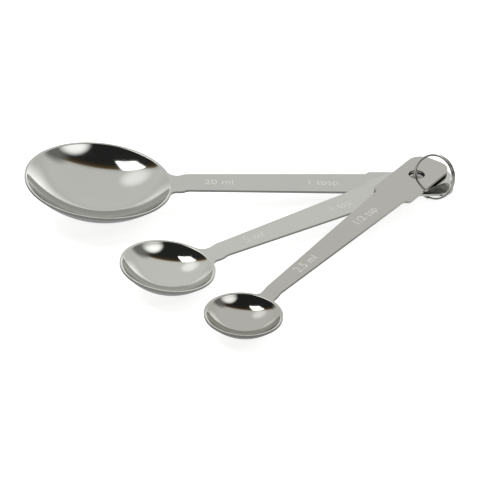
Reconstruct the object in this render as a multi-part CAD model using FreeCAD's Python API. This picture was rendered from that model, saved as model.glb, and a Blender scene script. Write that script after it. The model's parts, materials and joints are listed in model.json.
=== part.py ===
import FreeCAD, Part
import math
import os

from FreeCAD import Placement, Rotation, Vector

os.makedirs("parts", exist_ok=True)

# A set of three measuring spoons, each pressed in one piece from steel sheet,
# fanned out on a table and held together by a split ring through their holes.
# Lengths are in millimetres and angles in degrees. Z is up and the table is at zero.

# Sheet and forming radii shared by the three spoons
SHEET = 1.0
LIP_RADIUS = 1.2
RIM_LAND = 0.2
BEND_RADIUS = 6.0
NECK_LAND = 0.3
NECK_RISE_ANGLE = 20.0

# Widened end with the hanging hole, the same on the three spoons
HOLE_RADIUS = 3.5
END_WIDTH = 18.2
END_BEYOND_HOLE = 15.0
END_CORNER_RADIUS = 6.5
END_BEFORE_SHOULDER = 18.9
SHOULDER_LENGTH = 3.5

# Tablespoon, 20 ml
TABLESPOON_RIM_RADIUS = 31.0
TABLESPOON_DEPTH = 13.1
TABLESPOON_REACH = 135.9
TABLESPOON_NECK_WIDTH = 13.0
TABLESPOON_SHOULDER_WIDTH = 14.8
TABLESPOON_NECK_FILLET = 4.0
TABLESPOON_NECK_BEND_ANGLE = 3.0
TABLESPOON_HEADING_ANGLE = 186.0
TABLESPOON_LEAN_ANGLE = -0.5

# Teaspoon, 5 ml
TEASPOON_RIM_RADIUS = 19.2
TEASPOON_DEPTH = 8.7
TEASPOON_REACH = 127.6
TEASPOON_NECK_WIDTH = 8.9
TEASPOON_SHOULDER_WIDTH = 14.0
TEASPOON_NECK_FILLET = 4.5
TEASPOON_NECK_BEND_ANGLE = 6.0
TEASPOON_HEADING_ANGLE = 215.4
TEASPOON_LEAN_ANGLE = -3.8

# Half teaspoon, 2.5 ml
HALF_TEASPOON_RIM_RADIUS = 15.4
HALF_TEASPOON_DEPTH = 6.9
HALF_TEASPOON_REACH = 128.8
HALF_TEASPOON_NECK_WIDTH = 6.8
HALF_TEASPOON_SHOULDER_WIDTH = 13.1
HALF_TEASPOON_NECK_FILLET = 2.5
HALF_TEASPOON_NECK_BEND_ANGLE = 2.5
HALF_TEASPOON_HEADING_ANGLE = 235.1
HALF_TEASPOON_LEAN_ANGLE = -2.1

# Stack of the three ends, measured at the holes from the table upwards
TABLESPOON_HOLE_SHIFT_X = 0.55
TABLESPOON_HOLE_SHIFT_Y = 0.1
UNDER_TABLESPOON = 3.1
UNDER_TEASPOON = 1.6
UNDER_HALF_TEASPOON = 0.7

# Split ring of round wire, two turns joined by one crossing quarter
WIRE_RADIUS = 0.465
RING_BESIDE_END = 0.2
RING_RADIUS = END_WIDTH / 2 + RING_BESIDE_END
TURN_GAP = 0.5
RING_QUARTERS = 7
CROSSING_QUARTER = 3
FIRST_END_ANGLE = 90.0
RING_HEADING_ANGLE = 231.4
RING_TILT_ANGLE = 21.6
STRAND_SHIFT_X = -0.35
STRAND_SHIFT_Y = 0.76
GAP_SAMPLES = 40

# Height that every trimming prism stands above the rim and below the bowl
OVERRUN = 2.0

X_WAY = Vector(1, 0, 0)
Y_WAY = Vector(0, 1, 0)
Z_WAY = Vector(0, 0, 1)

TABLESPOON = {
    "rim_radius": TABLESPOON_RIM_RADIUS,
    "depth": TABLESPOON_DEPTH,
    "reach": TABLESPOON_REACH,
    "neck_width": TABLESPOON_NECK_WIDTH,
    "shoulder_width": TABLESPOON_SHOULDER_WIDTH,
    "neck_fillet": TABLESPOON_NECK_FILLET,
    "neck_bend": TABLESPOON_NECK_BEND_ANGLE,
    "heading": TABLESPOON_HEADING_ANGLE,
    "lean": TABLESPOON_LEAN_ANGLE,
}
TEASPOON = {
    "rim_radius": TEASPOON_RIM_RADIUS,
    "depth": TEASPOON_DEPTH,
    "reach": TEASPOON_REACH,
    "neck_width": TEASPOON_NECK_WIDTH,
    "shoulder_width": TEASPOON_SHOULDER_WIDTH,
    "neck_fillet": TEASPOON_NECK_FILLET,
    "neck_bend": TEASPOON_NECK_BEND_ANGLE,
    "heading": TEASPOON_HEADING_ANGLE,
    "lean": TEASPOON_LEAN_ANGLE,
}
HALF_TEASPOON = {
    "rim_radius": HALF_TEASPOON_RIM_RADIUS,
    "depth": HALF_TEASPOON_DEPTH,
    "reach": HALF_TEASPOON_REACH,
    "neck_width": HALF_TEASPOON_NECK_WIDTH,
    "shoulder_width": HALF_TEASPOON_SHOULDER_WIDTH,
    "neck_fillet": HALF_TEASPOON_NECK_FILLET,
    "neck_bend": HALF_TEASPOON_NECK_BEND_ANGLE,
    "heading": HALF_TEASPOON_HEADING_ANGLE,
    "lean": HALF_TEASPOON_LEAN_ANGLE,
}


def line(start, end):
    """A straight edge."""
    return Part.LineSegment(start, end).toShape()


def arc_about(centre, start, end):
    """The shorter arc about a centre."""
    middle = (start - centre) + (end - centre)
    crest = centre + middle.normalize() * (start - centre).Length
    return Part.Arc(start, crest, end).toShape()


def point_towards(start, end, distance):
    """The point at a distance from start on the way to end."""
    return start + (end - start).normalize() * distance


def mirrored(point):
    """The point on the other side of the spoon's middle plane."""
    return Vector(point.x, -point.y, point.z)


def prism(edges, bottom, height):
    """An upright prism on a closed outline drawn at zero height."""
    face = Part.Face(Part.Wire(edges))
    face.translate(Vector(0, 0, bottom))
    return face.extrude(Vector(0, 0, height))


def ball_radius(spoon):
    """Inner radius of the bowl's round bottom, which runs smoothly into the lip."""
    lip_reach = spoon["rim_radius"] - RIM_LAND
    return (lip_reach ** 2 / spoon["depth"] + spoon["depth"]) / 2 - LIP_RADIUS


def ball_centre(spoon):
    """Centre of the bowl's round bottom, on the bowl's axis above its rim."""
    return Vector(0, 0, ball_radius(spoon) - spoon["depth"])


def fillet_centre(spoon):
    """Centre of the fillet between rim and neck, on the left of the neck."""
    to_rim = spoon["rim_radius"] + spoon["neck_fillet"]
    sideways = spoon["neck_width"] / 2 + spoon["neck_fillet"]
    return Vector(-math.sqrt(to_rim ** 2 - sideways ** 2), sideways, 0)


def neck_end(spoon):
    """Distance from the bowl's axis to the line where the neck starts to bend."""
    return NECK_LAND - fillet_centre(spoon).x


def drawn_sheet(spoon):
    """The sheet drawn into a bowl, with its lip and a flat flange wide enough for the neck."""
    centre = ball_centre(spoon)
    ball = ball_radius(spoon)
    lip = Vector(spoon["rim_radius"] - RIM_LAND, 0, -LIP_RADIUS)
    flange = neck_end(spoon) + spoon["neck_width"]
    down = Vector(0, 0, -SHEET)
    inner_bottom = Vector(0, 0, -spoon["depth"])
    inner_wall_top = point_towards(centre, lip, ball)
    outer_wall_top = point_towards(centre, lip, ball + SHEET)
    lip_top = Vector(lip.x, 0, 0)
    flange_edge = Vector(flange, 0, 0)
    edges = [
        arc_about(centre, inner_bottom, inner_wall_top),
        arc_about(lip, inner_wall_top, lip_top),
        line(lip_top, flange_edge),
        line(flange_edge, flange_edge + down),
        line(flange_edge + down, lip_top + down),
        arc_about(lip, lip_top + down, outer_wall_top),
        arc_about(centre, outer_wall_top, inner_bottom + down),
        line(inner_bottom + down, inner_bottom),
    ]
    return Part.Face(Part.Wire(edges)).revolve(Vector(), Z_WAY, 360)


def bowl_outline(spoon):
    """Outline of the round rim and the neck that grows out of it."""
    rim = spoon["rim_radius"]
    fillet = fillet_centre(spoon)
    rim_touch = point_towards(Vector(), fillet, rim)
    neck_touch = Vector(fillet.x, spoon["neck_width"] / 2, 0)
    neck_corner = Vector(-neck_end(spoon), spoon["neck_width"] / 2, 0)
    far_rim = Part.Arc(rim_touch, Vector(rim, 0, 0), mirrored(rim_touch)).toShape()
    return [
        line(neck_corner, neck_touch),
        arc_about(fillet, neck_touch, rim_touch),
        far_rim,
        arc_about(mirrored(fillet), mirrored(rim_touch), mirrored(neck_touch)),
        line(mirrored(neck_touch), mirrored(neck_corner)),
        line(mirrored(neck_corner), neck_corner),
    ]


def bowl(spoon):
    """The drawn bowl trimmed to its rim and neck."""
    bottom = spoon["depth"] + SHEET + OVERRUN
    return drawn_sheet(spoon).common(prism(bowl_outline(spoon), -bottom, bottom + OVERRUN))


def rise_axis_point(spoon):
    """A point on the axis that the neck is bent up about, above the sheet."""
    return Vector(-neck_end(spoon), 0, BEND_RADIUS)


def settle_axis_point(spoon):
    """A point on the axis that the neck is bent back about, below the sheet."""
    return Vector(-neck_end(spoon), 0, -SHEET - BEND_RADIUS)


def rise_place(spoon):
    """Place of the sheet beyond the bend up out of the bowl's flange."""
    angle = spoon["neck_bend"] + NECK_RISE_ANGLE
    return Placement(Vector(), Rotation(Y_WAY, angle), rise_axis_point(spoon))


def settle_place(spoon):
    """Place of the sheet beyond the bend back towards the handle, before the neck rises."""
    return Placement(Vector(), Rotation(Y_WAY, -NECK_RISE_ANGLE), settle_axis_point(spoon))


def neck_bends(spoon):
    """The neck's two short curves: up out of the bowl's flange, then back to the handle's slope."""
    near = Vector(-neck_end(spoon), spoon["neck_width"] / 2, 0)
    down = Vector(0, 0, -SHEET)
    corners = [near, mirrored(near), mirrored(near) + down, near + down, near]
    section = Part.Face(Part.makePolygon(corners))
    rise = section.revolve(rise_axis_point(spoon), Y_WAY, spoon["neck_bend"] + NECK_RISE_ANGLE)
    settle = section.revolve(settle_axis_point(spoon), -Y_WAY, NECK_RISE_ANGLE)
    settle.Placement = rise_place(spoon)
    return [rise, settle]


def handle_length(spoon):
    """Length of the straight handle from the neck's bends to the hole."""
    rise_length = BEND_RADIUS * math.radians(spoon["neck_bend"] + NECK_RISE_ANGLE)
    settle_length = (BEND_RADIUS + SHEET) * math.radians(NECK_RISE_ANGLE)
    return spoon["reach"] - neck_end(spoon) - rise_length - settle_length


def handle_side(spoon):
    """Left edge of the handle from the bend to the end, with the hole at zero."""
    neck = Vector(handle_length(spoon), spoon["neck_width"] / 2, 0)
    narrow = Vector(END_BEFORE_SHOULDER + SHOULDER_LENGTH, spoon["shoulder_width"] / 2, 0)
    wide = Vector(END_BEFORE_SHOULDER, END_WIDTH / 2, 0)
    step = wide.y - narrow.y
    sweep = (SHOULDER_LENGTH ** 2 + step ** 2) / (4 * step)
    middle = (narrow + wide) / 2
    hollow_centre = narrow + Y_WAY * sweep
    round_centre = wide - Y_WAY * sweep
    corner_start = Vector(END_CORNER_RADIUS - END_BEYOND_HOLE, wide.y, 0)
    corner_centre = corner_start - Y_WAY * END_CORNER_RADIUS
    corner_end = corner_centre - X_WAY * END_CORNER_RADIUS
    return [
        line(neck, narrow),
        arc_about(hollow_centre, narrow, middle),
        arc_about(round_centre, middle, wide),
        line(wide, corner_start),
        arc_about(corner_centre, corner_start, corner_end),
        line(corner_end, Vector(corner_end.x, 0, 0)),
    ]


def handle(spoon):
    """The flat tapered handle with its widened end and hole, with the hole at zero."""
    left = handle_side(spoon)
    right = [edge.mirror(Vector(), Y_WAY) for edge in left]
    neck = Vector(handle_length(spoon), spoon["neck_width"] / 2, 0)
    outline = Part.sortEdges(left + right + [line(neck, mirrored(neck))])[0]
    hole = Part.makeCylinder(HOLE_RADIUS, SHEET, Vector(0, 0, -SHEET))
    return prism(outline, -SHEET, SHEET).cut(hole)


def hole_place(spoon):
    """Place of the hole and handle in the bowl's own frame."""
    straight = Placement(Vector(-neck_end(spoon) - handle_length(spoon), 0, 0), Rotation())
    return rise_place(spoon).multiply(settle_place(spoon)).multiply(straight)


def resting_place(spoon, hole_top):
    """Place of a spoon whose bowl rests on the table, from its hole's frame to the table's."""
    lean = Rotation(X_WAY, spoon["lean"])
    centre = lean.multVec(hole_place(spoon).inverse().multVec(ball_centre(spoon)))
    rise = ball_radius(spoon) + SHEET - hole_top.z
    pitch = math.asin(rise / math.hypot(centre.x, centre.z)) - math.atan2(centre.z, centre.x)
    heading = Rotation(Z_WAY, spoon["heading"])
    turned = heading.multiply(Rotation(Y_WAY, -math.degrees(pitch))).multiply(lean)
    return Placement(hole_top, turned)


def spoon_solid(spoon, hole_top):
    """One spoon in a single piece, resting on the table with its hole at the given place."""
    straight_handle = handle(spoon)
    straight_handle.Placement = hole_place(spoon)
    solid = bowl(spoon).fuse(neck_bends(spoon) + [straight_handle]).removeSplitter()
    place = resting_place(spoon, hole_top).multiply(hole_place(spoon).inverse())
    return solid.Solids[0].transformed(place.toMatrix(), True)


def capacity_ml(spoon):
    """Level capacity of a bowl in millilitres."""
    centre = ball_centre(spoon)
    lip = Vector(spoon["rim_radius"] - RIM_LAND, 0, -LIP_RADIUS)
    wall_top = point_towards(centre, lip, ball_radius(spoon))
    lip_top = Vector(lip.x, 0, 0)
    bottom = Vector(0, 0, -spoon["depth"])
    edges = [
        arc_about(centre, bottom, wall_top),
        arc_about(lip, wall_top, lip_top),
        line(lip_top, Vector()),
        line(Vector(), bottom),
    ]
    cubic_mm_per_ml = 1000
    return Part.Face(Part.Wire(edges)).revolve(Vector(), Z_WAY, 360).Volume / cubic_mm_per_ml


def ring_place(stack_middle):
    """Place of the ring: it stands on the table and one side passes up through the holes."""
    heading = Rotation(Z_WAY, RING_HEADING_ANGLE + 90)
    turned = heading.multiply(Rotation(X_WAY, 90 - RING_TILT_ANGLE))
    tilt = math.radians(RING_TILT_ANGLE)
    half_pitch = WIRE_RADIUS + TURN_GAP / 2
    centre_height = RING_RADIUS * math.cos(tilt) + half_pitch * math.sin(tilt) + WIRE_RADIUS
    up_the_ring = (stack_middle - centre_height) / math.cos(tilt)
    strand = Vector(-math.sqrt(RING_RADIUS ** 2 - up_the_ring ** 2), up_the_ring, 0)
    strand_place = Vector(STRAND_SHIFT_X, STRAND_SHIFT_Y, stack_middle)
    return Placement(strand_place - turned.multVec(strand), turned)


def corner_arc(start, corner, end):
    """The arc that leaves start towards a corner and reaches end coming from it."""
    middle = (start + end) / 2
    half_chord = (end - start).Length / 2
    bend = math.atan2((corner - middle).Length, half_chord)
    crest = point_towards(middle, corner, half_chord * math.tan(bend / 2))
    return Part.Arc(start, crest, end).toShape()


def biarc(start, start_way, end, end_way):
    """Two smoothly joined arcs between two points with given directions."""
    across = end - start
    along = across.dot(start_way + end_way)
    turn = 2 * (1 - start_way.dot(end_way))
    reach = (math.sqrt(along ** 2 + turn * across.dot(across)) - along) / turn
    first_corner = start + start_way * reach
    last_corner = end - end_way * reach
    meeting = (first_corner + last_corner) / 2
    return [corner_arc(start, first_corner, meeting), corner_arc(meeting, last_corner, end)]


def ring_path():
    """Middle line of the wire: three flat quarters, a crossing quarter, three flat quarters."""
    half_pitch = WIRE_RADIUS + TURN_GAP / 2
    edges = []
    for quarter in range(RING_QUARTERS):
        points = []
        ways = []
        for step in (quarter, quarter + 1):
            angle = math.radians(FIRST_END_ANGLE + 90 * step)
            level = -half_pitch if step <= CROSSING_QUARTER else half_pitch
            outwards = Vector(math.cos(angle), math.sin(angle), 0)
            points.append(outwards * RING_RADIUS + Vector(0, 0, level))
            ways.append(Z_WAY.cross(outwards))
        edges += biarc(points[0], ways[0], points[1], ways[1])
    return edges


def least_gap(edges):
    """Least gap between the wire's turns, on points at least half a turn apart along it."""
    points = []
    for edge in edges:
        points += edge.discretize(GAP_SAMPLES)[:-1]
    half_turn = 4 * GAP_SAMPLES
    gaps = []
    for index, point in enumerate(points):
        gaps += [(point - other).Length for other in points[index + half_turn:]]
    return min(gaps) - 2 * WIRE_RADIUS


def split_ring(stack_middle):
    """The split ring as one unbroken tube along its two turns."""
    edges = ring_path()
    start = edges[0].valueAt(edges[0].FirstParameter)
    start_way = edges[0].tangentAt(edges[0].FirstParameter)
    section = Part.Wire(Part.makeCircle(WIRE_RADIUS, start, start_way))
    tube = Part.Wire(edges).makePipeShell([section], True, False)
    return tube.transformed(ring_place(stack_middle).toMatrix(), True)


# Heights of the sheets' top faces at the holes
tablespoon_top = UNDER_TABLESPOON + SHEET
teaspoon_top = tablespoon_top + UNDER_TEASPOON + SHEET
half_teaspoon_top = teaspoon_top + UNDER_HALF_TEASPOON + SHEET
stack_middle = teaspoon_top - SHEET / 2
tablespoon_hole = Vector(TABLESPOON_HOLE_SHIFT_X, TABLESPOON_HOLE_SHIFT_Y, tablespoon_top)

solids = {
    "tablespoon": spoon_solid(TABLESPOON, tablespoon_hole),
    "teaspoon": spoon_solid(TEASPOON, Vector(0, 0, teaspoon_top)),
    "half_teaspoon": spoon_solid(HALF_TEASPOON, Vector(0, 0, half_teaspoon_top)),
    "split_ring": split_ring(stack_middle),
}

# The origin is moved from the table under the holes to the middle of the set's footprint
box = Part.makeCompound(list(solids.values())).optimalBoundingBox(False, False)
shift = Vector(-box.Center.x, -box.Center.y, -box.ZMin)
for node, solid in solids.items():
    moved = solid.translated(shift)
    moved.exportStep("parts/" + node + ".step")
    print(node, "valid", moved.isValid(), "solids", len(moved.Solids), "volume mm3", round(moved.Volume, 1))

ring = ring_place(stack_middle)
print("fan axis through", shift)
print("ring centre", ring.Base + shift, "ring axis", ring.Rotation.multVec(Z_WAY))
print("capacities ml", [round(capacity_ml(spoon), 2) for spoon in (TABLESPOON, TEASPOON, HALF_TEASPOON)])
print("least gap between the ring's turns mm", round(least_gap(ring_path()), 3))
print("size mm", box.XLength, box.YLength, box.ZLength)
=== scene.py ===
import json
import math

import bmesh
import bpy
from mathutils import Matrix, Vector


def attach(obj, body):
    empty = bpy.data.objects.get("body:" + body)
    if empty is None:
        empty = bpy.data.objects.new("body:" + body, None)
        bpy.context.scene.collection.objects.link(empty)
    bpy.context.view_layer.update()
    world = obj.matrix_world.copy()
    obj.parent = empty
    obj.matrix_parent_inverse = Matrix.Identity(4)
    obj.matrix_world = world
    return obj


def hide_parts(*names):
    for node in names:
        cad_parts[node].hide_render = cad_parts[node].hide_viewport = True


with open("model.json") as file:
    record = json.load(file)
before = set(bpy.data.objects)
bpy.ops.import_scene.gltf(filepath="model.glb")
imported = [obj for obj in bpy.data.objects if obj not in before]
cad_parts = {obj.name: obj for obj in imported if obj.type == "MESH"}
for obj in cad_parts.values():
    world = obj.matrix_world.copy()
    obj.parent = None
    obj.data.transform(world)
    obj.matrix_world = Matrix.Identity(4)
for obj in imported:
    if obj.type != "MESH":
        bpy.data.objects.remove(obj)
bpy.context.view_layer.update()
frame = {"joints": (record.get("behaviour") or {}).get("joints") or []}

# Tablespoon, 20 ml, the lowest of the three in the stack, with the split ring through its hole.
# It is pressed in one piece from 1 mm stainless sheet: the round bowl is drawn, the rim rolls over
# into a small lip, and the lip runs on flat into the neck, the tapered handle and its widened end.

MM = 0.001
NEAR = 0.01 * MM
SHEET = 1.0 * MM
LIP_RADIUS = 1.2 * MM
RIM_LAND = 0.2 * MM
NECK_LAND = 0.3 * MM
BEND_RADIUS = 6.0 * MM
NECK_RISE = 20.0
EDGE_ROUND = 0.22 * MM
EDGE_STEPS = 3
SHARP_ANGLE = 50.0
HOLE_RADIUS = 3.5 * MM
HOLE_FIELD = 5.4 * MM
FIELD_REACH_SHARE = 1.5
INSIDE_END_SHARE = 0.9
END_WIDTH = 18.2 * MM
END_BEYOND_HOLE = 15.0 * MM
END_CORNER_RADIUS = 6.5 * MM
END_BEFORE_SHOULDER = 18.9 * MM
SHOULDER_LENGTH = 3.5 * MM
RIM_SEGMENTS = 192
LIP_ROWS = 8
BALL_ROWS = 28
FILLET_ROWS = 10
BEND_ROWS = 8
HANDLE_ROWS = 24
SHOULDER_ROWS = 5
HOLE_ROWS = 12
CORNER_ROWS = 9


def sheet_row(to_x, to_half_width, last, flatten=1.0):
    """Extrudes the last row of the sheet, widens or narrows it, flattens its bow and moves it along X."""
    from_x, from_half_width = last
    bpy.ops.mesh.extrude_region_move()
    widen = to_half_width / from_half_width
    bpy.ops.transform.resize(value=(flatten, widen, 1), center_override=(from_x, 0, 0))
    bpy.ops.transform.translate(value=(to_x - from_x, 0, 0))
    return to_x, to_half_width


def select_where(piece, test):
    """Selects the edges whose two ends pass a test on their place."""
    bpy.ops.mesh.select_all(action="DESELECT")
    sheet = bmesh.from_edit_mesh(piece.data)
    for edge in sheet.edges:
        if all(test(vertex.co) for vertex in edge.verts):
            edge.select_set(True)
    sheet.select_flush_mode()
    bmesh.update_edit_mesh(piece.data)


def pressed_spoon(name, rim_radius, depth, reach, neck_width, shoulder_width, neck_fillet, neck_bend):
    """A spoon in its bowl's own frame: the rim at zero height, the handle towards -X.
    Returns it with the frame of its hole, the middle of its ball and the ball's outer radius."""
    bpy.ops.object.select_all(action="DESELECT")
    bpy.ops.mesh.primitive_circle_add(vertices=RIM_SEGMENTS, radius=rim_radius, fill_type="NOTHING")
    spoon = bpy.context.object
    spoon.name = name
    bpy.ops.object.mode_set(mode="EDIT")
    bpy.ops.mesh.select_mode(type="EDGE")
    bpy.ops.mesh.select_all(action="SELECT")

    # The bowl is drawn ring by ring, from the rim over the lip and down the ball to its pole
    lip_start = rim_radius - RIM_LAND
    ball = (lip_start ** 2 / depth + depth) / 2 - LIP_RADIUS
    ball_height = ball - depth
    wall_angle = math.atan2(lip_start, ball_height + LIP_RADIUS)
    rings = [(lip_start, 0.0)]
    for row in range(1, LIP_ROWS + 1):
        angle = wall_angle * row / LIP_ROWS
        rings.append((lip_start - LIP_RADIUS * math.sin(angle), LIP_RADIUS * (math.cos(angle) - 1)))
    for row in range(1, BALL_ROWS):
        angle = wall_angle * (1 - row / BALL_ROWS)
        rings.append((ball * math.sin(angle), ball_height - ball * math.cos(angle)))
    radius, height = rim_radius, 0.0
    for ring_radius, ring_height in rings:
        bpy.ops.mesh.extrude_region_move()
        bpy.ops.transform.resize(value=[ring_radius / radius] * 2 + [1], center_override=(0, 0, height))
        bpy.ops.transform.translate(value=(0, 0, ring_height - height))
        radius, height = ring_radius, ring_height
    bpy.ops.mesh.extrude_region_move()
    bpy.ops.transform.translate(value=(0, 0, -depth - height))
    bpy.ops.mesh.merge(type="CENTER")

    # The neck grows out of the rim between two fillets, first bowed like the rim, then straight
    half_neck = neck_width / 2
    step = 2 * math.pi / RIM_SEGMENTS
    neck_angle = step * round(math.asin((half_neck + neck_fillet) / (rim_radius + neck_fillet)) / step)
    fillet = (rim_radius * math.sin(neck_angle) - half_neck) / (1 - math.sin(neck_angle))
    fillet_x = -(rim_radius + fillet) * math.cos(neck_angle)
    neck_start = -rim_radius * math.cos(neck_angle)
    last = (neck_start, rim_radius * math.sin(neck_angle))

    def at_neck(place):
        """Whether a place is on the stretch of rim that the neck grows out of."""
        on_rim = abs(place.z) < NEAR and place.xy.length > rim_radius - NEAR
        return on_rim and place.x < neck_start + NEAR

    select_where(spoon, at_neck)
    for row in range(1, FILLET_ROWS + 1):
        angle = neck_angle + (math.pi / 2 - neck_angle) * row / FILLET_ROWS
        row_x = fillet_x + fillet * math.cos(angle)
        half_width = half_neck + fillet * (1 - math.sin(angle))
        flatten = (FILLET_ROWS - row) / (FILLET_ROWS - row + 1)
        last = sheet_row(row_x, half_width, last, flatten)
    neck_end = fillet_x - NECK_LAND
    last = sheet_row(neck_end, half_neck, last)

    # The handle goes on flat: the length that the bends take up, the taper, the shoulders, the widened end
    rise_angle = math.radians(neck_bend + NECK_RISE)
    settle_angle = math.radians(NECK_RISE)
    rise_length = BEND_RADIUS * rise_angle
    settle_length = (BEND_RADIUS + SHEET) * settle_angle
    hole_x = -reach
    shoulder_x = hole_x + END_BEFORE_SHOULDER + SHOULDER_LENGTH
    half_shoulder = shoulder_width / 2
    half_end = END_WIDTH / 2
    creases = []
    for length, angle in ((rise_length, rise_angle), (settle_length, -settle_angle)):
        for row in range(BEND_ROWS):
            creases.append((last[0] - length / BEND_ROWS / 2, angle / BEND_ROWS))
            last = sheet_row(last[0] - length / BEND_ROWS, half_neck, last)
    handle_start = last[0]
    for row in range(1, HANDLE_ROWS + 1):
        share = row / HANDLE_ROWS
        row_x = handle_start + (shoulder_x - handle_start) * share
        last = sheet_row(row_x, half_neck + (half_shoulder - half_neck) * share, last)
    shoulder_step = half_end - half_shoulder
    sweep = (SHOULDER_LENGTH ** 2 + shoulder_step ** 2) / (4 * shoulder_step)
    turn = math.asin(SHOULDER_LENGTH / 2 / sweep)
    for row in range(1, SHOULDER_ROWS + 1):
        angle = turn * row / SHOULDER_ROWS
        half_width = half_shoulder + sweep * (1 - math.cos(angle))
        last = sheet_row(shoulder_x - sweep * math.sin(angle), half_width, last)
    for row in range(1, SHOULDER_ROWS + 1):
        angle = turn * (1 - row / SHOULDER_ROWS)
        row_x = shoulder_x - SHOULDER_LENGTH + sweep * math.sin(angle)
        last = sheet_row(row_x, half_end - sweep * (1 - math.cos(angle)), last)
    for row in range(HOLE_ROWS + 1):
        last = sheet_row(hole_x + HOLE_FIELD * (1 - 2 * row / HOLE_ROWS), half_end, last)
    corner_x = hole_x - END_BEYOND_HOLE + END_CORNER_RADIUS
    for row in range(CORNER_ROWS + 1):
        angle = math.pi / 2 * row / CORNER_ROWS
        half_width = half_end - END_CORNER_RADIUS * (1 - math.cos(angle))
        last = sheet_row(corner_x - END_CORNER_RADIUS * math.sin(angle), half_width, last)

    # The hole is punched in the widened end: a square field is taken out and bridged to a round edge
    bpy.ops.mesh.select_mode(type="FACE")
    bpy.ops.mesh.select_all(action="DESELECT")
    sheet = bmesh.from_edit_mesh(spoon.data)
    for face in sheet.faces:
        middle = face.calc_center_median()
        face.select = abs(middle.x - hole_x) < HOLE_FIELD and abs(middle.y) < HOLE_FIELD
    bmesh.update_edit_mesh(spoon.data)
    bpy.ops.mesh.delete(type="FACE")
    bpy.ops.mesh.select_mode(type="EDGE")
    bpy.ops.mesh.select_all(action="DESELECT")

    def borders_field(edge):
        """Whether an edge is on the border of the field, and not on the outline of the handle's end."""
        ends = [vertex.co for vertex in edge.verts]
        by_hole = all(abs(end.x - hole_x) < FIELD_REACH_SHARE * HOLE_FIELD for end in ends)
        inside_end = all(abs(end.y) < INSIDE_END_SHARE * half_end for end in ends)
        return edge.is_boundary and by_hole and inside_end

    sheet = bmesh.from_edit_mesh(spoon.data)
    for edge in sheet.edges:
        edge.select = borders_field(edge)
    border = sum(edge.select for edge in sheet.edges)
    bmesh.update_edit_mesh(spoon.data)
    bpy.ops.mesh.primitive_circle_add(vertices=border, radius=HOLE_RADIUS, location=(hole_x, 0, 0))
    sheet = bmesh.from_edit_mesh(spoon.data)
    for edge in sheet.edges:
        edge.select = borders_field(edge) or edge.is_wire
    bmesh.update_edit_mesh(spoon.data)
    bpy.ops.mesh.bridge_edge_loops()

    # The neck is bent by small creases, the outermost first: everything beyond each one is turned about it
    for crease, angle in reversed(creases):
        select_where(spoon, lambda place: place.x < crease)
        bpy.ops.transform.rotate(value=-angle, orient_axis="Y", center_override=(crease, 0, 0))
    bpy.ops.object.mode_set(mode="OBJECT")

    # The sheet gets its thickness downwards, and its cut edges are tumbled round
    thickness = spoon.modifiers.new("thickness", "SOLIDIFY")
    thickness.thickness = SHEET
    thickness.offset = -1
    # The cut edges take the second material, steel painted dark as painted shade
    thickness.material_offset_rim = 1
    bpy.ops.object.modifier_apply(modifier=thickness.name)
    edges = spoon.modifiers.new("edges", "BEVEL")
    edges.width = EDGE_ROUND
    edges.segments = EDGE_STEPS
    edges.limit_method = "ANGLE"
    edges.angle_limit = math.radians(SHARP_ANGLE)
    bpy.ops.object.modifier_apply(modifier=edges.name)
    bpy.ops.object.shade_smooth()
    flats = spoon.modifiers.new("flats", "WEIGHTED_NORMAL")
    bpy.ops.object.modifier_apply(modifier=flats.name)

    # Where the hole and the ball's middle are in this frame, for laying the spoon down
    rise = Matrix.Translation((neck_end, 0, BEND_RADIUS)) @ Matrix.Rotation(rise_angle, 4, "Y")
    settle = Matrix.Translation((0, 0, -SHEET - 2 * BEND_RADIUS)) @ Matrix.Rotation(-settle_angle, 4, "Y")
    along_handle = rise_length + settle_length - reach - neck_end
    hole = rise @ settle @ Matrix.Translation((along_handle, 0, SHEET + BEND_RADIUS))
    return spoon, hole, Vector((0, 0, ball_height)), ball + SHEET


def lay_down(made, hole_top, heading, lean):
    """Lays a spoon with its bowl on the table and its hole at a given place, and fixes that in its mesh.
    Returns the frame of the hole: Z out of the handle's top, X along the handle towards the bowl."""
    spoon, hole, ball_middle, ball_outside = made
    leaned = Matrix.Rotation(math.radians(lean), 4, "X") @ hole.inverted()
    middle = leaned @ ball_middle
    rise = ball_outside - hole_top.z
    pitch = math.asin(rise / math.hypot(middle.x, middle.z)) - math.atan2(middle.z, middle.x)
    turned = Matrix.Rotation(math.radians(heading), 4, "Z") @ Matrix.Rotation(-pitch, 4, "Y")
    laid = Matrix.Translation(hole_top) @ turned @ leaned
    spoon.matrix_world = laid
    bpy.ops.object.transform_apply(location=True, rotation=True, scale=True)
    return laid @ hole


def linear(hex_colour):
    """An sRGB hex colour as linear red, green, blue and alpha."""
    channels = [int(hex_colour[place:place + 2], 16) / 255 for place in (1, 3, 5)]
    return [c / 12.92 if c <= 0.04045 else ((c + 0.055) / 1.055) ** 2.4 for c in channels] + [1.0]


def add_node(tree, kind, settings=None, inputs=None):
    """A node with its settings, and its inputs set to a value or linked to another node's output."""
    node = tree.nodes.new(kind)
    for key, value in (settings or {}).items():
        setattr(node, key, value)
    for key, value in (inputs or {}).items():
        if isinstance(value, bpy.types.NodeSocket):
            tree.links.new(value, node.inputs[key])
        else:
            node.inputs[key].default_value = value
    return node


def bare_material(name):
    """A new material and its node tree, which is still empty."""
    material = bpy.data.materials.new(name)
    material.use_nodes = True
    material.node_tree.nodes.clear()
    return material, material.node_tree


# Polished stainless steel: pressed, then barrel polished, so the bowls mirror the room and the flats keep
# a faint grain of fine marks. Clouds of slightly duller metal, 18 mm across, come from handling.
CLOUD = 18 * MM
GRAIN = 0.5 * MM
GRAIN_DEPTH = 0.02 * MM


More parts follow.
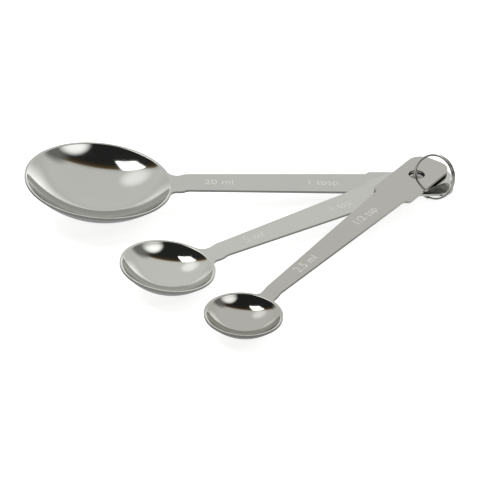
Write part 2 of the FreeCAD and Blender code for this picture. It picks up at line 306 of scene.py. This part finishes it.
def polished_sheet(name, clean, handled):
    """The spoons' steel, from its colour where it is clean to its colour where it is handled."""
    material, tree = bare_material(name)
    place = add_node(tree, "ShaderNodeTexCoord").outputs["Object"]
    clouds = add_node(tree, "ShaderNodeTexNoise", None, {"Vector": place, "Scale": 1 / CLOUD, "Detail": 3.0})
    grain = add_node(tree, "ShaderNodeTexNoise", None, {"Vector": place, "Scale": 1 / GRAIN, "Detail": 2.0})
    dull = add_node(tree, "ShaderNodeMapRange", None, {
        "Value": clouds.outputs["Fac"],
        "To Min": 0.04,
        "To Max": 0.1,
    })
    tone = add_node(tree, "ShaderNodeMix", {"data_type": "RGBA"}, {
        "Factor": clouds.outputs["Fac"],
        "A": linear(clean),
        "B": linear(handled),
    })
    marks = add_node(tree, "ShaderNodeBump", None, {
        "Strength": 0.02,
        "Distance": GRAIN_DEPTH,
        "Height": grain.outputs["Fac"],
    })
    steel = add_node(tree, "ShaderNodeBsdfPrincipled", None, {
        "Base Color": tone.outputs["Result"],
        "Metallic": 1.0,
        "Roughness": dull.outputs["Result"],
        "Normal": marks.outputs["Normal"],
    })
    add_node(tree, "ShaderNodeOutputMaterial", None, {"Surface": steel.outputs["BSDF"]})
    return material


def marked_steel(name, colour, mark, detail, smoothest, dullest):
    """Steel of one colour whose roughness changes from mark to mark."""
    material, tree = bare_material(name)
    place = add_node(tree, "ShaderNodeTexCoord").outputs["Object"]
    marks = add_node(tree, "ShaderNodeTexNoise", None, {"Vector": place, "Scale": 1 / mark, "Detail": detail})
    dull = add_node(tree, "ShaderNodeMapRange", None, {
        "Value": marks.outputs["Fac"],
        "To Min": smoothest,
        "To Max": dullest,
    })
    steel = add_node(tree, "ShaderNodeBsdfPrincipled", None, {
        "Base Color": linear(colour),
        "Metallic": 1.0,
        "Roughness": dull.outputs["Result"],
    })
    add_node(tree, "ShaderNodeOutputMaterial", None, {"Surface": steel.outputs["BSDF"]})
    return material


# Cut edges of the sheet: matt steel, painted dark as painted shade for the dark that the side faces and rim
# edges show
edge_painted_shade = marked_steel(
    "stainless_edge_painted_shade", "#4E4C49", mark=0.3 * MM, detail=2.0, smoothest=0.3, dullest=0.5
)

joints = {joint["name"]: joint for joint in frame["joints"]}
FAN_AXIS = Vector(joints["teaspoon_fan"]["pos_m"])
TABLESPOON_ASIDE_X = 0.55 * MM
TABLESPOON_ASIDE_Y = 0.1 * MM
TABLESPOON_HOLE_HEIGHT = 4.1 * MM
tablespoon_hole = Vector((
    FAN_AXIS.x + TABLESPOON_ASIDE_X,
    FAN_AXIS.y + TABLESPOON_ASIDE_Y,
    TABLESPOON_HOLE_HEIGHT,
))
made = pressed_spoon(
    "tablespoon_sheet",
    rim_radius=31.0 * MM,
    depth=13.1 * MM,
    reach=135.9 * MM,
    neck_width=13.0 * MM,
    shoulder_width=14.8 * MM,
    neck_fillet=4.0 * MM,
    neck_bend=3.0,
)
tablespoon = made[0]
tablespoon_top = lay_down(made, tablespoon_hole, heading=186.0, lean=-0.5)
tablespoon.data.materials.append(polished_sheet("polished_stainless_tablespoon", "#B8B8B4", "#B3B3B0"))
tablespoon.data.materials.append(edge_painted_shade)
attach(tablespoon, "tablespoon")
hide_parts("tablespoon")

# Etched steel: the measures in the handles, plain figures, paler and duller than the polish around them
etched_steel = marked_steel(
    "etched_stainless", "#CDCDC9", mark=0.2 * MM, detail=2.0, smoothest=0.3, dullest=0.5
)
FIGURE_SIZE = 5.6 * MM
ETCH_SKIN = 0.004 * MM
FIRST_MEASURE = 85.0 * MM
SECOND_MEASURE = 41.0 * MM


def etched_measure(name, words, handle_top, from_hole):
    """A measure in the middle of a handle's width, to be read with the bowl on the left."""
    bpy.ops.object.select_all(action="DESELECT")
    bpy.ops.object.text_add()
    measure = bpy.context.object
    measure.name = name
    measure.data.body = words
    measure.data.size = FIGURE_SIZE
    measure.data.align_x = "CENTER"
    measure.data.align_y = "CENTER"
    measure.data.extrude = ETCH_SKIN
    bpy.ops.object.convert(target="MESH")
    reading_way = Matrix.Rotation(math.pi, 4, "Z")
    measure.matrix_world = handle_top @ Matrix.Translation((from_hole, 0, 0)) @ reading_way
    bpy.ops.object.transform_apply(location=True, rotation=True, scale=True)
    measure.data.materials.append(etched_steel)
    return measure


for words, from_hole in (("20 ml", FIRST_MEASURE), ("1 tbsp", SECOND_MEASURE)):
    measure = etched_measure("tablespoon_measure_" + words[:1], words, tablespoon_top, from_hole)
    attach(measure, "tablespoon")

# Teaspoon, 5 ml, pressed and polished as the tablespoon is, from the same stainless sheet.
# Its bowl is deeper for its width, and its neck is bent up more. Its end lies over the tablespoon's,
# and the ring through its hole holds it.

TEASPOON_HOLE_HEIGHT = 6.7 * MM
made = pressed_spoon(
    "teaspoon_sheet",
    rim_radius=19.2 * MM,
    depth=8.7 * MM,
    reach=127.6 * MM,
    neck_width=8.9 * MM,
    shoulder_width=14.0 * MM,
    neck_fillet=4.5 * MM,
    neck_bend=6.0,
)
teaspoon = made[0]
teaspoon_hole = Vector((FAN_AXIS.x, FAN_AXIS.y, TEASPOON_HOLE_HEIGHT))
teaspoon_top = lay_down(made, teaspoon_hole, heading=215.4, lean=-3.8)
# Its steel is painted a little lighter than the tablespoon's, as painted light on the same stainless
teaspoon.data.materials.append(polished_sheet("polished_stainless_teaspoon_painted_light", "#BDBEB9", "#B8B9B4"))
teaspoon.data.materials.append(edge_painted_shade)
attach(teaspoon, "teaspoon")
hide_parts("teaspoon")
for words, from_hole in (("5 ml", FIRST_MEASURE), ("1 tsp", SECOND_MEASURE)):
    measure = etched_measure("teaspoon_measure_" + words[:1], words, teaspoon_top, from_hole)
    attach(measure, "teaspoon")

# Half teaspoon, 2.5 ml, pressed from the same stainless sheet, painted a little darker than the other two as
# painted shade.
# It has the smallest bowl on the narrowest neck. Its end lies on top of the stack, and the ring
# through its hole holds it.

HALF_TEASPOON_HOLE_HEIGHT = 8.4 * MM
made = pressed_spoon(
    "half_teaspoon_sheet",
    rim_radius=15.4 * MM,
    depth=6.9 * MM,
    reach=128.8 * MM,
    neck_width=6.8 * MM,
    shoulder_width=13.1 * MM,
    neck_fillet=2.5 * MM,
    neck_bend=2.5,
)
half_teaspoon = made[0]
half_teaspoon_hole = Vector((FAN_AXIS.x, FAN_AXIS.y, HALF_TEASPOON_HOLE_HEIGHT))
half_teaspoon_top = lay_down(made, half_teaspoon_hole, heading=235.1, lean=-2.1)
# Its steel is painted darker than the other two, as painted shade on the same stainless
half_teaspoon.data.materials.append(polished_sheet("polished_stainless_half_teaspoon_painted_shade", "#AFAEA9", "#AAA9A4"))
half_teaspoon.data.materials.append(edge_painted_shade)
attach(half_teaspoon, "half_teaspoon")
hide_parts("half_teaspoon")
for words, from_hole in (("2.5 ml", FIRST_MEASURE), ("1/2 tsp", SECOND_MEASURE)):
    measure = etched_measure("half_teaspoon_measure_" + words[:1], words, half_teaspoon_top, from_hole)
    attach(measure, "half_teaspoon")

# Split ring: spring steel wire wound in two turns, with one crossing quarter between them.
# It stands on the table, and one side of it passes up through the three holes.

WIRE_RADIUS = 0.465 * MM
WIRE_SIDES = 20
WIRE_END_ANGLE = 40.0
RING_RADIUS = 9.3 * MM
HALF_PITCH = 0.715 * MM
FLAT_TURN = 1.5 * math.pi
FLAT_STEPS = 60
CROSSING_TURN = 0.5 * math.pi
CROSSING_STEPS = 20
RING_CENTRE = Vector(joints["ring_turn"]["pos_m"])
RING_AXIS = Vector(joints["ring_turn"]["axis"]).normalized()

bpy.ops.object.select_all(action="DESELECT")
bpy.ops.mesh.primitive_circle_add(
    vertices=WIRE_SIDES,
    radius=WIRE_RADIUS,
    location=(0, RING_RADIUS, -HALF_PITCH),
    rotation=(0, math.pi / 2, 0),
)
split_ring = bpy.context.object
split_ring.name = "split_ring_wire"
bpy.ops.object.transform_apply(location=True, rotation=True, scale=True)
bpy.ops.object.mode_set(mode="EDIT")
bpy.ops.mesh.select_all(action="SELECT")
bpy.ops.mesh.spin(steps=FLAT_STEPS, angle=FLAT_TURN, center=(0, 0, 0), axis=(0, 0, 1))
height = -HALF_PITCH
for step in range(1, CROSSING_STEPS + 1):
    share = step / CROSSING_STEPS
    to_height = HALF_PITCH * (2 * share * share * (3 - 2 * share) - 1)
    bpy.ops.mesh.extrude_region_move()
    bpy.ops.transform.rotate(
        value=-CROSSING_TURN / CROSSING_STEPS, orient_axis="Z", center_override=(0, 0, 0)
    )
    bpy.ops.transform.translate(value=(0, 0, to_height - height))
    height = to_height
bpy.ops.mesh.spin(steps=FLAT_STEPS, angle=FLAT_TURN, center=(0, 0, 0), axis=(0, 0, 1))
bpy.ops.mesh.select_all(action="SELECT")
bpy.ops.mesh.remove_doubles(threshold=NEAR)
bpy.ops.mesh.select_all(action="DESELECT")
bpy.ops.mesh.select_mode(type="EDGE")
wire = bmesh.from_edit_mesh(split_ring.data)
for edge in wire.edges:
    edge.select = edge.is_boundary
bmesh.update_edit_mesh(split_ring.data)
bpy.ops.mesh.edge_face_add()
bpy.ops.mesh.select_all(action="SELECT")
bpy.ops.mesh.normals_make_consistent(inside=False)
bpy.ops.object.mode_set(mode="OBJECT")
bpy.ops.object.shade_smooth_by_angle(angle=math.radians(WIRE_END_ANGLE))
right = Vector((0, 0, 1)).cross(RING_AXIS).normalized()
up = RING_AXIS.cross(right)
turned = Matrix((right, up, RING_AXIS)).transposed().to_4x4()
split_ring.matrix_world = Matrix.Translation(RING_CENTRE) @ turned
bpy.ops.object.transform_apply(location=True, rotation=True, scale=True)

# Bright drawn wire: spring steel, darker than the sheet, with duller marks of 1.2 mm that break its glints
drawn_wire = marked_steel(
    "bright_drawn_spring_steel", "#A3A19E", mark=1.2 * MM, detail=3.0, smoothest=0.05, dullest=0.12
)
split_ring.data.materials.append(drawn_wire)
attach(split_ring, "split_ring")
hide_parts("split_ring")

# Table: a plain white surface that the spoons lie on, matt, so it keeps their soft shadow.
# The camera sees it as white. In the steel it shows a painted reflection, an emission by place: painted
# shade, grey, close to the spoons, and a painted glow, white and brighter, further back and on the right.

TABLE_SIDE = 4.0
TABLE_LIFT = 0.74
PAINTED_SHADE_CLOSE = 0.4
BACK_FROM = 200 * MM
BACK_TO = 450 * MM
PAINTED_GLOW_BACK = 1.8
RIGHT_FROM = 55 * MM
RIGHT_TO = 80 * MM
PAINTED_GLOW_RIGHT = 0.9

bpy.ops.object.select_all(action="DESELECT")
bpy.ops.mesh.primitive_plane_add(size=TABLE_SIDE)
table = bpy.context.object
table.name = "table"
white_table, tree = bare_material("matt_white_table")
path = add_node(tree, "ShaderNodeLightPath")
lift = add_node(tree, "ShaderNodeMath", {"operation": "MULTIPLY"}, {
    0: path.outputs["Is Camera Ray"],
    1: TABLE_LIFT,
})
matt = add_node(tree, "ShaderNodeBsdfDiffuse", None, {"Color": linear("#F2F2F2")})
glow = add_node(tree, "ShaderNodeEmission", None, {"Strength": lift.outputs[0]})
seen = add_node(tree, "ShaderNodeAddShader", None, {0: matt.outputs[0], 1: glow.outputs[0]})
place = add_node(tree, "ShaderNodeTexCoord").outputs["Object"]
across = add_node(tree, "ShaderNodeSeparateXYZ", None, {"Vector": place})
back = add_node(tree, "ShaderNodeMapRange", None, {
    "Value": across.outputs["Y"],
    "From Min": BACK_FROM,
    "From Max": BACK_TO,
    "To Min": PAINTED_SHADE_CLOSE,
    "To Max": PAINTED_GLOW_BACK,
})
beside = add_node(tree, "ShaderNodeMapRange", None, {
    "Value": across.outputs["X"],
    "From Min": RIGHT_FROM,
    "From Max": RIGHT_TO,
    "To Min": PAINTED_SHADE_CLOSE,
    "To Max": PAINTED_GLOW_RIGHT,
})
brightest = add_node(tree, "ShaderNodeMath", {"operation": "MAXIMUM"}, {
    0: back.outputs["Result"],
    1: beside.outputs["Result"],
})
# Glossy rays see only this emission: painted shade near the spoons, painted glow behind them and on the right
painted_reflection = add_node(tree, "ShaderNodeEmission", None, {"Strength": brightest.outputs[0]})
either = add_node(tree, "ShaderNodeMixShader", None, {
    0: path.outputs["Is Glossy Ray"],
    1: seen.outputs[0],
    2: painted_reflection.outputs[0],
})
add_node(tree, "ShaderNodeOutputMaterial", None, {"Surface": either.outputs[0]})
table.data.materials.append(white_table)

# Studio: white walls all round, brightest low behind the spoons, where the white goes on up to the zenith.
# The ceiling on the camera's side is dark. The lights in it show as bright patches in the bowls,
# and a grey screen on the right as the grey end of the dark part.

WHITE_SIDE = (0.1, 0.86, 0.5)
ROOM_TONES = (
    (0.35, "#303231"),
    (0.40, "#3C352A"),
    (0.46, "#6A5638"),
    (0.49, "#EFEEE8"),
    (0.54, "#FFFFFD"),
)
WALL_TOP = 0.55
WALL_FULL = 0.34
HORIZON_TOP = 0.4
HORIZON_SIDE = 0.7
HORIZON_MIDDLE = 0.85
HORIZON_STRENGTH = 2.4
ROUND = 2
SQUARE = 8

world = bpy.data.worlds.new("studio")
bpy.context.scene.world = world
world.use_nodes = True
tree = world.node_tree
tree.nodes.clear()
way = add_node(tree, "ShaderNodeTexCoord").outputs["Generated"]
behind = add_node(tree, "ShaderNodeVectorMath", {"operation": "DOT_PRODUCT"}, {0: way, 1: WHITE_SIDE})
room = add_node(tree, "ShaderNodeValToRGB", None, {"Fac": behind.outputs["Value"]})
stops = room.color_ramp.elements
for position, colour in ROOM_TONES:
    stops.new(position).color = linear(colour)
stops.remove(stops[-1])
stops.remove(stops[0])
height = add_node(tree, "ShaderNodeSeparateXYZ", None, {"Vector": way}).outputs["Z"]
wall = add_node(tree, "ShaderNodeMapRange", {"interpolation_type": "SMOOTHSTEP"}, {
    "Value": height,
    "From Min": WALL_TOP,
    "From Max": WALL_FULL,
})
walls = add_node(tree, "ShaderNodeMix", {"data_type": "RGBA"}, {
    "Factor": wall.outputs["Result"],
    "A": room.outputs["Color"],
    "B": linear("#F4F4F1"),
})
low = add_node(tree, "ShaderNodeMapRange", None, {
    "Value": height,
    "From Min": HORIZON_TOP,
    "From Max": 0.0,
})
far = add_node(tree, "ShaderNodeMapRange", None, {
    "Value": behind.outputs["Value"],
    "From Min": HORIZON_SIDE,
    "From Max": HORIZON_MIDDLE,
})
horizon = add_node(tree, "ShaderNodeMath", {"operation": "MULTIPLY"}, {
    0: low.outputs["Result"],
    1: far.outputs["Result"],
})
dome = add_node(tree, "ShaderNodeMix", {"data_type": "RGBA"}, {
    "Factor": horizon.outputs[0],
    "A": walls.outputs["Result"],
    "B": [HORIZON_STRENGTH] * 3 + [1.0],
})


def studio_light(under, middle, along, across, corner, inner, strength):
    """Lays a light or a screen over the colours under it. Its middle and its two half sides are the X and Y
    of directions, its corner is ROUND or SQUARE, and it fades from inner to its edge, which is at 1."""
    turn = along[0] * across[1] - across[0] * along[1]
    sides = []
    for x, y in ((across[1] / turn, -across[0] / turn), (-along[1] / turn, along[0] / turn)):
        side = add_node(tree, "ShaderNodeVectorMath", {"operation": "DOT_PRODUCT"}, {0: way, 1: (x, y, 0)})
        from_middle = add_node(tree, "ShaderNodeMath", {"operation": "SUBTRACT"}, {
            0: side.outputs["Value"],
            1: x * middle[0] + y * middle[1],
        })
        power = add_node(tree, "ShaderNodeMath", {"operation": "POWER"}, {
            0: from_middle.outputs[0],
            1: corner,
        })
        sides.append(power.outputs[0])
    reach = add_node(tree, "ShaderNodeMath", {"operation": "ADD"}, {0: sides[0], 1: sides[1]})
    share = add_node(tree, "ShaderNodeMapRange", {"interpolation_type": "SMOOTHSTEP"}, {
        "Value": reach.outputs[0],
        "From Min": 1.0,
        "From Max": inner,
    })
    lit = add_node(tree, "ShaderNodeMix", {"data_type": "RGBA"}, {
        "Factor": share.outputs["Result"],
        "A": under,
        "B": [strength] * 3 + [1.0],
    })
    return lit.outputs["Result"]


glow_beside_right_light = studio_light(
    dome.outputs["Result"],
    middle=(-0.44, 0.28),
    along=(0.27, 0.0),
    across=(0.0, 0.23),
    corner=ROUND,
    inner=0.0,
    strength=1.6,
)
grey_screen = studio_light(
    glow_beside_right_light,
    middle=(0.94, 0.0),
    along=(0.34, 0.0),
    across=(0.0, 0.34),
    corner=ROUND,
    inner=0.1,
    strength=0.26,
)
left_light = studio_light(
    grey_screen,
    middle=(0.58, -0.32),
    along=(-0.29, -0.25),
    across=(0.1, -0.116),
    corner=ROUND,
    inner=0.0,
    strength=2.0,
)
right_light = studio_light(
    left_light,
    middle=(-0.39, -0.03),
    along=(-0.19, 0.06),
    across=(-0.07, 0.13),
    corner=SQUARE,
    inner=0.6,
    strength=3.0,
)
studio = add_node(tree, "ShaderNodeBackground", None, {"Color": right_light, "Strength": 1.0})
add_node(tree, "ShaderNodeOutputWorld", None, {"Surface": studio.outputs[0]})

# Camera: a long lens that looks down at 32 degrees on the table, at the photograph's framing.
# It stands to the left of the ring, in front of the spoons.

CAMERA_FROM_FAN = Vector((-75.0, -878.7, 524.7)) * MM
CAMERA_TILT = 58.0
SENSOR_WIDTH = 36.0
FOCAL_LENGTH = 180.0

bpy.ops.object.camera_add(
    location=Vector((FAN_AXIS.x, FAN_AXIS.y, 0)) + CAMERA_FROM_FAN,
    rotation=(math.radians(CAMERA_TILT), 0, 0),
)
camera = bpy.context.object
camera.data.sensor_width = SENSOR_WIDTH
camera.data.lens = FOCAL_LENGTH
bpy.context.scene.camera = camera
bpy.context.scene.view_settings.view_transform = "Standard"
